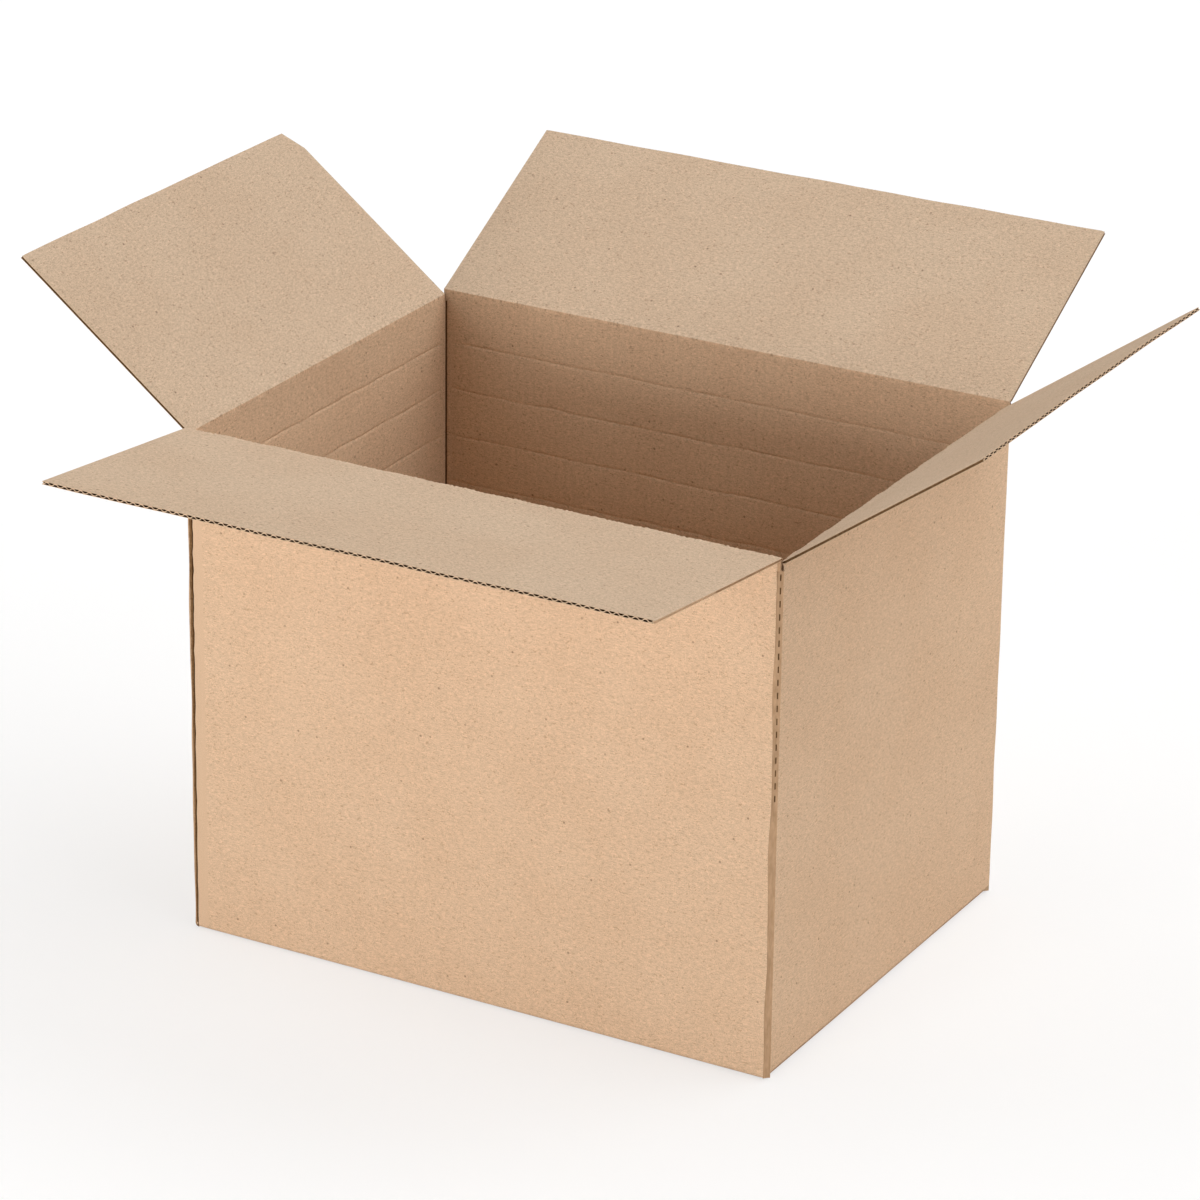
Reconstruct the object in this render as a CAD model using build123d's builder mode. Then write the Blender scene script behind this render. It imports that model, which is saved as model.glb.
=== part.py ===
from build123d import *
import os
from math import radians, sqrt, tan

# An open carton of single-wall corrugated board, slotted, folded and glued at the bottom.
# The origin is the middle of the underside, X runs along the long walls, Y points to the back.

# Outside size of the box and of its board
length = 400.0
width = 300.0
long_crease_height = 326.0
board = 2.4

# The short flaps fold lower than the long ones, so that they tuck in under them
tuck_clearance = 0.4
crease_step = board + tuck_clearance

# Lean of each open flap, in degrees from straight up
front_lean = 84.2
back_lean = 61.1
left_lean = 52.8
right_lean = 54.7

# Crushed fold line between a wall and its flap
pivot_depth_share = 0.3
outer_taper = 14.0
inner_taper = 33.0
bead_radius = 0.35
crease_clearance = 0.3

# Slots between neighbouring flaps, cut a little deeper than the fold lines
long_flap_inset = 0.8
side_clearance = 1.0
short_flap_inset = board + side_clearance
slot_overrun = 4.0
seam_gap = 4.6

# The glued bottom is pressed shut, so its long flaps meet more closely than the open top's would.
# They end short of the corners, as no edge of theirs shows under the end wall
bottom_seam_gap = 0.6
bottom_flap_inset = 4.0

# Corrugated section that shows at the flaps' free edges
liner = 0.3
medium = 0.28
flute_pitch = 5.9
crest_share = 0.12
edge_margin = 0.6
crushed_length = 6.0

# Vertical folds, and the perforated line down the upper part of each
corner_flat = 3.0
slit_length = 4.0
slit_pitch = 8.0
slit_width = 0.8
perforated_share = 0.487

# Lines pressed into the inside, to cut and fold the box lower
score_pitch = 31.5
score_count = 5
score_depth = 0.4
score_taper = 30.0

# Bottom folds and the glued side joint
fold_radius = 1.9
tab_width = 35.0
tab_board = 1.7
tab_slant = 10.0
tab_end_gap = 12.0

half_length = length / 2
half_width = width / 2
inside_length = length - 2 * board
inside_width = width - 2 * board
short_crease_height = long_crease_height - crease_step
slot_bottom = short_crease_height - slot_overrun

# The fold's axis lies nearer to the outer face
outer_depth = board * pivot_depth_share
inner_depth = board - outer_depth
outer_run = outer_depth / tan(radians(outer_taper))
inner_run = inner_depth / tan(radians(inner_taper))
flap_length = half_width - outer_depth - seam_gap / 2
long_half_span = half_length - long_flap_inset
short_half_span = half_width - short_flap_inset

# Planes of the four fold lines: local X points outward, local Y up the wall
front_fold = Plane((0, outer_depth - half_width, long_crease_height), x_dir=(0, -1, 0), z_dir=(-1, 0, 0))
back_fold = Plane((0, half_width - outer_depth, long_crease_height), x_dir=(0, 1, 0), z_dir=(1, 0, 0))
left_fold = Plane((outer_depth - half_length, 0, short_crease_height), x_dir=(-1, 0, 0), z_dir=(0, 1, 0))
right_fold = Plane((half_length - outer_depth, 0, short_crease_height), x_dir=(1, 0, 0), z_dir=(0, -1, 0))

# Slope of the wavy middle layer, from its thickness and the flat of its crests
half_pitch = flute_pitch / 2
cell_height = board - 2 * liner - medium
web_rise = cell_height - medium
cell_short = flute_pitch * crest_share
web_room = half_pitch - cell_short
web_reach = medium * sqrt(web_room ** 2 + web_rise ** 2 - medium ** 2)
web_slope = (web_room * web_rise - web_reach) / (web_rise ** 2 - medium ** 2)
cell_long = cell_short + 2 * web_slope * cell_height
outer_cell_top = outer_depth - liner
inner_cell_top = inner_depth - liner


def wall_lip(fold, depth):
    """Section of a wall's top, thinned to the round bead that the flap folds about."""
    with BuildSketch(fold) as lip:
        Polygon(
            (-inner_depth, -depth),
            (outer_depth, -depth),
            (outer_depth, -outer_run),
            (0, 0),
            (-inner_depth, -inner_run),
            align=None,
        )
        Circle(bead_radius)
    return lip.sketch


def flap_section(flap):
    """Section of a flap, thinned at its fold and hollowed to clear the wall's bead."""
    with BuildSketch(flap) as section:
        Polygon(
            (0, 0),
            (outer_depth, outer_run),
            (outer_depth, flap_length),
            (-inner_depth, flap_length),
            (-inner_depth, inner_run),
            align=None,
        )
        Circle(bead_radius + crease_clearance, mode=Mode.SUBTRACT)
    return section.sketch


def flute_ends(flap, half_span):
    """Mouths of the flute tunnels at a flap's free edge, turned up and down in turn."""
    middle = flap.from_local_coords((0, flap_length, 0))
    edge = Plane(middle, x_dir=flap.z_dir, z_dir=flap.y_dir)
    count = 1 + int((2 * half_span - 2 * edge_margin - cell_long) / half_pitch)
    first = (1 - count) * half_pitch / 2
    places = [first + half_pitch * i for i in range(count)]
    with BuildSketch(edge) as ends:
        with Locations(*[(x, 0) for x in places[0::2]]):
            Polygon(
                (-cell_long / 2, outer_cell_top),
                (-cell_short / 2, outer_cell_top - cell_height),
                (cell_short / 2, outer_cell_top - cell_height),
                (cell_long / 2, outer_cell_top),
                align=None,
            )
        with Locations(*[(x, 0) for x in places[1::2]]):
            Polygon(
                (-cell_long / 2, -inner_cell_top),
                (cell_long / 2, -inner_cell_top),
                (cell_short / 2, cell_height - inner_cell_top),
                (-cell_short / 2, cell_height - inner_cell_top),
                align=None,
            )
    return ends.sketch


flute_length = flap_length - crushed_length

with BuildPart() as carton_body:
    # Four walls in one sheet, with a crushed flat on the outside of each fold
    with BuildSketch(Plane.XY.offset(board)):
        Rectangle(length, width)
        chamfer(vertices(), corner_flat)
        Rectangle(inside_length, inside_width, mode=Mode.SUBTRACT)
    extrude(amount=slot_bottom - board)
    low_edges = edges().filter_by(Axis.Y).filter_by_position(Axis.Z, board, board).sort_by(Axis.X)
    fillet([low_edges[0], low_edges[-1]], fold_radius)

    # Long bottom flaps, folded in last, which meet at a seam under the middle of the box
    bottom_depth = half_width - bottom_seam_gap / 2
    bottom_middle = (half_width + bottom_seam_gap / 2) / 2
    with BuildSketch():
        with Locations((0, -bottom_middle), (0, bottom_middle)):
            Rectangle(length - 2 * bottom_flap_inset, bottom_depth)
    extrude(amount=board)
    under_edges = edges().filter_by(Axis.X).filter_by_position(Axis.Z, 0, 0).sort_by(Axis.Y)
    fillet([under_edges[0], under_edges[-1]], fold_radius)

    # Short bottom flaps, folded in first and glued on top of the long ones
    short_reach = outer_depth + flap_length - board
    short_middle = half_length - board - short_reach / 2
    with BuildSketch(Plane.XY.offset(board)):
        with Locations((-short_middle, 0), (short_middle, 0)):
            Rectangle(short_reach, 2 * short_half_span)
    extrude(amount=board)

    # Wall tops, thinned to the beads on the four fold lines
    extrude(wall_lip(front_fold, long_crease_height - slot_bottom), amount=long_half_span, both=True)
    extrude(wall_lip(back_fold, long_crease_height - slot_bottom), amount=long_half_span, both=True)
    extrude(wall_lip(left_fold, slot_overrun), amount=short_half_span, both=True)
    extrude(wall_lip(right_fold, slot_overrun), amount=short_half_span, both=True)

    # Score lines pressed into the inside of the walls
    score_levels = [short_crease_height - score_pitch * (i + 1) for i in range(score_count)]
    score_reach = 2 * score_depth / tan(radians(score_taper))
    with BuildSketch(*[Plane.XY.offset(level) for level in score_levels]):
        Rectangle(inside_length + 2 * score_depth, inside_width + 2 * score_depth)
    extrude(amount=score_reach, both=True, taper=score_taper, mode=Mode.SUBTRACT)

    # Tab of the side joint, turned in from the back wall and glued inside the right wall
    tab_low = 2 * board + tab_end_gap
    tab_high = slot_bottom - tab_end_gap
    tab_face = Plane(
        (half_length - board + score_depth, half_width - board, 0), x_dir=(0, -1, 0), z_dir=(-1, 0, 0)
    )
    with BuildSketch(tab_face):
        Polygon(
            (0, tab_low),
            (tab_width, tab_low + tab_slant),
            (tab_width, tab_high - tab_slant),
            (0, tab_high),
            align=None,
        )
    extrude(amount=tab_board + score_depth)

    # Perforation slits down the four corners
    slit_count = int((long_crease_height * perforated_share - crease_step - slot_overrun) / slit_pitch)
    slit_middle = slot_bottom - slit_count * slit_pitch / 2
    slit_reach = 2 * (board + tab_board)
    corners = [(-1, -1), (1, -1), (1, 1), (-1, 1)]
    slit_planes = [
        Plane((sx * half_length, sy * half_width, slit_middle), x_dir=(-sy, sx, 0), z_dir=(sx, sy, 0))
        for sx, sy in corners
    ]
    with BuildSketch(*slit_planes):
        with GridLocations(0, slit_pitch, 1, slit_count):
            Rectangle(slit_width, slit_length)
    extrude(amount=-slit_reach, mode=Mode.SUBTRACT)

with BuildPart() as flap_front:
    front_flap = Plane(front_fold.location * Rot(0, 0, -front_lean))
    extrude(flap_section(front_flap), amount=long_half_span, both=True)
    extrude(flute_ends(front_flap, long_half_span), amount=-flute_length, mode=Mode.SUBTRACT)

with BuildPart() as flap_back:
    back_flap = Plane(back_fold.location * Rot(0, 0, -back_lean))
    extrude(flap_section(back_flap), amount=long_half_span, both=True)
    extrude(flute_ends(back_flap, long_half_span), amount=-flute_length, mode=Mode.SUBTRACT)

with BuildPart() as flap_left:
    left_flap = Plane(left_fold.location * Rot(0, 0, -left_lean))
    extrude(flap_section(left_flap), amount=short_half_span, both=True)
    extrude(flute_ends(left_flap, short_half_span), amount=-flute_length, mode=Mode.SUBTRACT)

with BuildPart() as flap_right:
    right_flap = Plane(right_fold.location * Rot(0, 0, -right_lean))
    extrude(flap_section(right_flap), amount=short_half_span, both=True)
    extrude(flute_ends(right_flap, short_half_span), amount=-flute_length, mode=Mode.SUBTRACT)

os.makedirs("parts", exist_ok=True)
carton_body.part.label = "carton_body"
export_step(carton_body.part, "parts/carton_body.step")
flap_front.part.label = "flap_front"
export_step(flap_front.part, "parts/flap_front.step")
flap_back.part.label = "flap_back"
export_step(flap_back.part, "parts/flap_back.step")
flap_left.part.label = "flap_left"
export_step(flap_left.part, "parts/flap_left.step")
flap_right.part.label = "flap_right"
export_step(flap_right.part, "parts/flap_right.step")
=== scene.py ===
import math
import bpy
import numpy as np
from mathutils import Matrix, Vector


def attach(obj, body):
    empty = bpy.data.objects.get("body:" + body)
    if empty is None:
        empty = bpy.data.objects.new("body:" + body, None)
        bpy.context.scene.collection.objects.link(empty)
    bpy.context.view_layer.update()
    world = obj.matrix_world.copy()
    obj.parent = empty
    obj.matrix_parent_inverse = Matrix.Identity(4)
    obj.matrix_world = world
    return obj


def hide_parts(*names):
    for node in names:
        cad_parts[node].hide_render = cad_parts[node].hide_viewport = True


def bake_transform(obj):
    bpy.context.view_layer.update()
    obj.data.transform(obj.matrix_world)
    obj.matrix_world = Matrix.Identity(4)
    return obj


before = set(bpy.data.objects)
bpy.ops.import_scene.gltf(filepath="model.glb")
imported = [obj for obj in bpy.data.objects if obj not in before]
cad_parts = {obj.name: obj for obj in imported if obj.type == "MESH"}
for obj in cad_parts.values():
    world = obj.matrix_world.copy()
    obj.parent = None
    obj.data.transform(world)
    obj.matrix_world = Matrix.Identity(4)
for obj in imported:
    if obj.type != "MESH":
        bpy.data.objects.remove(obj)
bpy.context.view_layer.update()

# Sizes are in millimetres, as in the part's source, and MM turns them into metres.
MM = 0.001

# Outside size of the box, its board and its fold lines
HALF_LENGTH = 200.0
HALF_WIDTH = 150.0
BOARD = 2.4
OUTER_DEPTH = 0.72
INNER_DEPTH = 1.68
LONG_FOLD = 326.0
SHORT_FOLD = 323.2
SLOT_BOTTOM = 319.2
FLAP_LENGTH = 146.98
LONG_SPAN = 199.2
SHORT_SPAN = 146.6
LEANS = {"front": 84.2, "back": 61.1, "left": 52.8, "right": 54.7}

# Bottom flaps, and the heights at which the walls go over into them
BOTTOM_LONG_SPAN = 196.9
BOTTOM_SHORT_SPAN = 146.9
BOTTOM_SEAM = 0.6
LONG_LOW = 3.5
SHORT_LOW = 6.0
CORNER_LOW = 0.9
CORNER_FOOT_ROW = 0.8
GLUE_GAP = 0.02

# Vertical folds: the crushed flat outside with its slits, and the crevice inside
CORNER_FLAT = 3.0
SLIT_WIDTH = 0.8
SLIT_LENGTH = 4.0
SLIT_PITCH = 8.0
SLIT_COUNT = 18
SLIT_DEPTH = 0.7
SLIT_END = 0.3
SLIT_SHARE = 0.6
SPREAD_HIGH = 2.6
SPREAD_LOW = 1.4
SPREAD_SHARE = 0.6
CREVICE = 0.2
CREVICE_SIDE = 0.8
RIDGE_SIDE = 1.7
RIDGE_FOOT = 3.2
RIDGE_HEIGHT = 0.32
# Painted highlight on the ridges beside each inside crevice
RIDGE_HIGHLIGHT = 0.7

# Lines pressed into the inside, and the panels between them, which stand in a little
SCORE_PITCH = 31.5
SCORE_COUNT = 5
SCORE_LEVELS = [SHORT_FOLD - SCORE_PITCH * (i + 1) for i in range(SCORE_COUNT)]
SCORE_DEPTH = 0.48
SCORE_HALF = 0.75
SCORE_LIP = 0.06
SCORE_LIP_HALF = 0.7
PANEL_BULGE = 0.5

# Corrugated section
LINER = 0.27
MEDIUM = 0.50
CREST = 1.5
PITCH = 5.9
SAMPLES = 10
BOTTOM_SAMPLES = 6
TUNNEL = 30.0
GROOVE = 0.8
RIB = 0.04

# Crushed fold line, and the board pressed thin by the knives along its edges
FOLD_RADIUS = 0.35
INNER_RADIUS = 0.7
BOTTOM_RADIUS = 1.5
CRUSH_REACH = 2.2
CRUSH_OUTER = 0.45
CRUSH_INNER = 0.12
BOTTOM_CRUSH_INNER = 0.85
CREASE_DEPTH = 0.45
CREASE_HALF = 0.5
PINCH_OUTER = 0.22
PINCH_INNER = 0.36
SIDE_PINCH_REACH = 4.0
FREE_PINCH_REACH = 6.0
CRUSH_MARGIN = 0.1
CRUSH_HOLD_SHARE = 0.8
RIB_START = 4.0
RIB_EASE = 8.0
WEAR_REACH = 1.6

# Rows of each flap: below the fold, beyond it, and back from the free edge
WALL_ROWS = (5.6, 4.0, 2.8, 1.9, 1.2, 0.7)
FLAP_ROWS = (0.7, 1.2, 1.9, 2.8, 4.0, 6.0, 9.0, 14.0, 24.0, 38.0, 56.0, 76.0, 98.0, 118.0, 131.0)
FREE_ROWS = (8.0, 4.0, 2.0, 0.8, 0.0)
ROW_GAP = 0.15
TURN_ROWS = 7

# Rows and columns of the walls: even ones, and those beside each score line
EVEN_ROWS = (14.0, 312.0)
INNER_ROW_STEP = 8.0
OUTER_ROW_STEP = 9.0
INNER_COLUMN_STEP = PITCH / 4
OUTER_COLUMN_STEP = 9.0
SCORE_ROWS = (0.5, 1.0, 1.6, 2.4)
SCORE_ROW_ROOM = 4.5
FOOT_ROW = 2.0
HEAD_ROW = 3.0

# Shape of each corner's strip: places over its width beside the slit, and how far each is sunk
STRIP_SHARES = (0.0, 0.05, 0.33)
STRIP_END_SHARES = (0.93, 1.0)
STRIP_HOLLOWS = (0.0, 0.20, 0.26, 0.22, 0.22, 0.22, 0.12, 0.0)

# Start of the random numbers of each piece, and how far each top flap is bowed
FLAP_SEEDS = {"front": 11, "right": 21, "back": 31, "left": 41}
FLAP_BOWS = {"front": 0.7, "right": -1.0, "back": 0.6, "left": -0.6}
BOTTOM_SEEDS = {"front": 51, "back": 61, "left": 71, "right": 81}
WALL_SEEDS = (100, 110, 120, 130)
CORNER_SEEDS = (400, 420, 440, 460)
SCORE_SEEDS = (500, 560, 620, 680)
SCORE_SEED_STEP = 7
TAB_SEED = 301
PERIOD_SHARES = (0.6, 1.8)

# Uneven forms, as pairs of height and wavelength
COLUMN_WAVES = ((0.35, 30.0),)
LIP_WAVES = ((0.19, 3.4), (0.18, 24.0))
ROUGH_WAVES = ((0.05, 1.9), (0.12, 60.0))
WEAR_WAVES = ((0.4, 14.0),)
CREASE_SHADE_WAVES = ((1.0, 26.0), (0.6, 5.0))
COCKLE_WAVE = 90.0
SLIT_WAVES = ((0.2, 30.0),)
SCORE_WANDER = ((0.35, 55.0), (0.22, 6.0))
SCORE_WAVES = ((0.35, 38.0), (0.25, 7.0))
CHANNEL_WAVES = ((0.35, 55.0),)
STRIP_WAVES = ((0.45, 75.0),)
SPREAD_WAVES = ((0.2, 12.0),)
RIDGE_WAVES = ((0.3, 40.0),)
PANEL_LONG_WAVES = ((0.25, 160.0),)
PANEL_CROSS_WAVES = ((0.2, 130.0),)
OUTER_WAVES = ((0.04, 34.0),)
RIB_PHASE_WAVES = ((0.5, 60.0),)
TAB_WAVES = ((0.15, 70.0),)

# Their means and limits, and the distances over which they fade towards an edge
WEAR_MEAN = 0.6
CREASE_SHADE_LIMIT = 0.9
SLIT_MEAN = 0.8
SCORE_MEAN, SCORE_LIMITS = 0.72, (0.15, 1.4)
CHANNEL_MEAN, CHANNEL_LIMITS = 0.8, (0.35, 1.2)
RIDGE_MEAN, RIDGE_LIMITS = 0.85, (0.3, 1.3)
COCKLE = 0.12
COCKLE_START = 10.0
COCKLE_EASE = 60.0
BOW_POWER = 1.5
BOW_SIDE_SHARE = 0.8
COLUMN_CALM = 12.0
LIP_CALM = 8.0
STRIP_CALM = 12.0
PANEL_CALM = 25.0
PANEL_SLANT = 0.3
OUTER_SLANT = 0.4
RIB_CALM = 4.0
RIB_TOP_CALM = 6.0

# Points in one cell of this grid are joined. Its odd step and shift keep round sizes off its borders
WELD = 0.00217
WELD_SHIFT = 0.3719
SHARP_ANGLE = 32.0
TINY = 1e-6
ROW_MATCH = 1e-3

# Material slots of each piece. The fifth is crushed paper darkened partly with painted shade, the sixth and
# seventh are painted shade, and the eighth is the inside liner with painted warm bounce light
OUTER, INNER, EDGE, FLUTE, STRIP, PAINTED_SHADE, PAINTED_DEEP_SHADE, WALL_INNER = range(8)

# Edges of each flap: the share of its sides, from the fold on, whose groove is painted with shade, and the
# painted paper there; how far the free edge is pressed thin; and how much of the corner at its start is cut
# away
EDGES = {
    "front": (0.55, STRIP, 0.3, 0.0),
    "back": (1.1, PAINTED_SHADE, 0.3, 0.0),
    "left": (1.1, PAINTED_SHADE, 0.3, 7.5),
    "right": (1.1, PAINTED_SHADE, 0.9, 0.0),
}
BOTTOM_EDGES = (0.5, STRIP, 0.3, 0.0)
CORNER_CUT_LENGTH = 16.0
CORNER_CUT_REACH = 24.0


def ripple(x, seed, wavelength, terms=5):
    """Smooth uneven wave of height about 1, the same on each run."""
    rng = np.random.default_rng(seed)
    total = np.zeros_like(np.asarray(x, float))
    for _ in range(terms):
        period = wavelength * rng.uniform(*PERIOD_SHARES)
        total = total + np.sin(2 * np.pi * (x / period + rng.random()))
    return total / math.sqrt(terms)


def waves(x, seed, pairs):
    """Sum of uneven waves, each with its height and wavelength."""
    return sum(height * ripple(x, seed + i, wavelength) for i, (height, wavelength) in enumerate(pairs))


def ease(x):
    """Runs smoothly from 0 to 1 as x does."""
    x = np.clip(x, 0.0, 1.0)
    return x * x * (3 - 2 * x)


def new_object(name, data):
    """A new object in the scene."""
    made = bpy.data.objects.new(name, data)
    bpy.context.scene.collection.objects.link(made)
    return made


class Mesher:
    """Collects grids and polygons of points, joins those that coincide, and makes one mesh."""

    def __init__(self):
        self.points, self.blanks, self.mids, self.wears = [], [], [], []
        self.quads, self.quad_kinds = [], []
        self.polygons, self.polygon_kinds = [], []
        self.count = 0

    def spots(self, points, blank, mid=None, wear_and_highlight=0.0):
        points = np.asarray(points, float)
        shape = points.shape[:-1]
        self.points.append(points.reshape(-1, 3))
        self.blanks.append(np.broadcast_to(blank, points.shape).reshape(-1, 3))
        self.mids.append(np.broadcast_to(points if mid is None else mid, points.shape).reshape(-1, 3))
        self.wears.append(np.broadcast_to(wear_and_highlight, shape).ravel())
        index = self.count + np.arange(points.size // 3).reshape(shape)
        self.count += points.size // 3
        return index

    def cells(self, index, kind, flip=False, keep=True):
        quads = np.stack([index[:-1, :-1], index[:-1, 1:], index[1:, 1:], index[1:, :-1]], -1)
        keep = np.broadcast_to(keep, quads.shape[:2])
        self.quad_kinds.append(np.broadcast_to(kind, quads.shape[:2])[keep])
        quads = quads[keep]
        self.quads.append(quads[:, ::-1] if flip else quads)

    def grid(self, points, blank, kind, flip=False, keep=True, mid=None, wear_and_highlight=0.0):
        index = self.spots(points, blank, mid, wear_and_highlight)
        self.cells(index, kind, flip, keep)
        return index

    def polygon(self, index, kind, flip=False):
        index = [int(i) for i in index]
        self.polygons.append(index[::-1] if flip else index)
        self.polygon_kinds.append(kind)

    def build(self, name, materials):
        points = np.concatenate(self.points)
        keys = np.floor(points / WELD + WELD_SHIFT).astype(np.int64)
        _, first, place = np.unique(keys, axis=0, return_index=True, return_inverse=True)
        place = place.ravel()
        faces, kinds = [], []
        if self.quads:
            quads = place[np.concatenate(self.quads)]
            quad_kinds = np.concatenate(self.quad_kinds)
            same = quads == np.roll(quads, -1, axis=1)
            folded = (quads[:, 0] == quads[:, 2]) | (quads[:, 1] == quads[:, 3])
            whole = (same.sum(1) == 0) & ~folded
            faces += quads[whole].tolist()
            kinds += quad_kinds[whole].tolist()
            three = same.sum(1) == 1
            corner = quads[three][~same[three]].reshape(-1, 3)
            distinct = (np.diff(np.sort(corner, axis=1), axis=1) > 0).all(1)
            faces += corner[distinct].tolist()
            kinds += quad_kinds[three][distinct].tolist()
        for polygon, kind in zip(self.polygons, self.polygon_kinds):
            ring = []
            for i in polygon:
                j = int(place[i])
                if not ring or (ring[-1] != j and ring[0] != j):
                    ring.append(j)
            if len(ring) > 2:
                faces.append(ring)
                kinds.append(kind)
        mesh = bpy.data.meshes.new(name)
        mesh.from_pydata((points[first] * MM).tolist(), [], faces)
        mesh.polygons.foreach_set("material_index", np.array(kinds, np.int32))
        mesh.polygons.foreach_set("use_smooth", np.ones(len(faces), bool))
        blank = mesh.attributes.new("blank", "FLOAT_VECTOR", "POINT")
        places = np.concatenate(self.blanks)[first] * MM
        blank.data.foreach_set("vector", places.astype(np.float32).ravel())
        wear_and_highlight = mesh.attributes.new("wear_and_highlight", "FLOAT", "POINT")
        wear_and_highlight.data.foreach_set("value", np.concatenate(self.wears)[first].astype(np.float32))
        for material in materials:
            mesh.materials.append(material)
        mesh.set_sharp_from_angle(angle=math.radians(SHARP_ANGLE))
        mesh.update()
        piece = new_object(name, mesh)
        self.mid = np.concatenate(self.mids)[first] * MM
        return piece


# Materials


def new_material(name):
    """A material with its shader, and the place in the flat sheet that its patterns follow."""
    material = bpy.data.materials.new(name)
    material.use_nodes = True
    tree = material.node_tree
    shader = tree.nodes["Principled BSDF"]
    blank = tree.nodes.new("ShaderNodeAttribute")
    blank.attribute_name = "blank"
    return material, tree, shader, blank.outputs["Vector"]


def noise(
    tree, vector, scale, detail=2.0, roughness=0.5,
    stretch=(1.0, 1.0, 1.0), offset=(0.0, 0.0, 0.0), distortion=0.0,
):
    mapping = tree.nodes.new("ShaderNodeMapping")
    mapping.inputs["Scale"].default_value = stretch
    mapping.inputs["Location"].default_value = offset
    tree.links.new(vector, mapping.inputs["Vector"])
    texture = tree.nodes.new("ShaderNodeTexNoise")
    texture.inputs["Scale"].default_value = scale
    texture.inputs["Detail"].default_value = detail
    texture.inputs["Roughness"].default_value = roughness
    texture.inputs["Distortion"].default_value = distortion
    tree.links.new(mapping.outputs["Vector"], texture.inputs["Vector"])
    return texture.outputs["Fac"]


def span(tree, value, low, high, to_low, to_high, smooth=False):
    """Carries value from low..high to to_low..to_high, held at both ends."""
    change = tree.nodes.new("ShaderNodeMapRange")
    change.interpolation_type = "SMOOTHSTEP" if smooth else "LINEAR"
    change.clamp = True
    tree.links.new(value, change.inputs["Value"])
    for socket, number in (("From Min", low), ("From Max", high), ("To Min", to_low), ("To Max", to_high)):
        change.inputs[socket].default_value = number
    return change.outputs["Result"]


def combine(tree, operation, *values):
    math_node = tree.nodes.new("ShaderNodeMath")
    math_node.operation = operation
    for socket, value in zip(math_node.inputs, values):
        if isinstance(value, (int, float)):
            socket.default_value = value
        else:
            tree.links.new(value, socket)
    return math_node.outputs["Value"]


def blend_colour(tree, factor, first, second):
    mix = tree.nodes.new("ShaderNodeMix")
    mix.data_type = "RGBA"
    tree.links.new(factor, mix.inputs["Factor"])
    colours = [s for s in mix.inputs if s.type == "RGBA"]
    for socket, value in zip(colours, (first, second)):
        if isinstance(value, tuple):
            socket.default_value = (*value, 1.0)
        else:
            tree.links.new(value, socket)
    return [s for s in mix.outputs if s.type == "RGBA"][0]


def scaled(tree, colour, value):
    scale = tree.nodes.new("ShaderNodeVectorMath")
    scale.operation = "SCALE"
    tree.links.new(colour, scale.inputs[0])
    tree.links.new(value, scale.inputs["Scale"])
    return scale.outputs["Vector"]


def roughen(tree, shader, height, strength, distance):
    """Gives the paper a fine relief."""
    bump = tree.nodes.new("ShaderNodeBump")
    bump.inputs["Strength"].default_value = strength
    bump.inputs["Distance"].default_value = distance
    tree.links.new(height, bump.inputs["Height"])
    tree.links.new(bump.outputs["Normal"], shader.inputs["Normal"])


# Layers of the kraft liner, as noises over the flat sheet, most of them drawn out across the flutes
KRAFT_LAYERS = {
    "clouds": {"scale": 16.0, "detail": 3.0, "roughness": 0.55},
    "mottle": {"scale": 520.0, "detail": 3.0, "roughness": 0.65, "stretch": (0.75, 1.0, 1.0)},
    "fibres": {
        "scale": 1150.0, "detail": 2.0, "roughness": 0.6, "stretch": (0.34, 1.0, 1.0), "distortion": 0.7,
    },
    "grains": {"scale": 1400.0, "detail": 1.0},
    "specks": {"scale": 800.0, "detail": 1.0, "stretch": (0.7, 1.0, 1.0)},
    "hairs": {"scale": 380.0, "detail": 1.0, "stretch": (0.35, 1.0, 1.0), "distortion": 1.3},
}
MIDDLE_BAND = (0.25, 0.75)
CLOUD_BAND = (0.32, 0.68)
MOTTLE_SWING = 0.07
FIBRE_SWING = 0.12
LIGHT_FIBRE = 1.22

# Bands of a noise, and what each is carried to
SPECK_BAND = (0.66, 0.72, 0.0, 0.65)
HAIR_BAND = (0.68, 0.76, 0.0, 0.45)
PALE_FIBRE_BAND = (0.38, 0.62, 0.0, 0.75)
KRAFT_ROUGHNESS = (0.3, 0.7, 0.84, 0.95)
KRAFT_SHEEN = 0.2
KRAFT_RELIEF = (0.4, 0.00012)

# Sparse bits of bark: spots to the unit, those that are dark, their size and how dark they are
SHIVE_SCALE = 60.0
SHIVE_CHOICE = (0.58, 0.85, 0.0, 0.8)
SHIVE_SPOT = (0.025, 0.055, 1.0, 0.0)
SHIVE_SHADE = 0.6

# Blender's band texture has 20 radians to the unit at scale 1
BAND_RADIANS = 20.0
BAND_DISTORTION = 2.0
BAND_DETAIL = 1.0


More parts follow.
